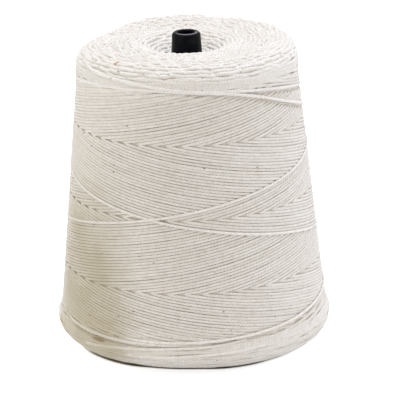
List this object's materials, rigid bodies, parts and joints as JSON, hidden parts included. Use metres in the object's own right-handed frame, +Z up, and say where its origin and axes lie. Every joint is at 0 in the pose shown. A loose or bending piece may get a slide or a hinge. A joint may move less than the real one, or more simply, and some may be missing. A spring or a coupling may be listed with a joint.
{
  "type": "cone of cross-wound cotton twine",
  "caption": "Cone of cotton twine: one thread cross wound on a tapered plastic tube that stands on its foot, with a hole through its rounded nose.",
  "frame": {"origin": "on the tube's axis, in the plane of the foot that the cone stands on", "axes": "+Z up along the tube's axis, from the foot to the nose; the cone has no front of its own, and -Y is taken as its front"},
  "size_m": [0.1412, 0.1454, 0.17],
  "materials": {
    "tube_plastic": "moulded, satin",
    "cotton_thread": "unbleached plied cotton, matt"
  },
  "bodies": {
    "root": {"cone_tube": "tube_plastic", "wound_core": "cotton_thread", "outer_winding": "cotton_thread"}
  },
  "joints": []
}
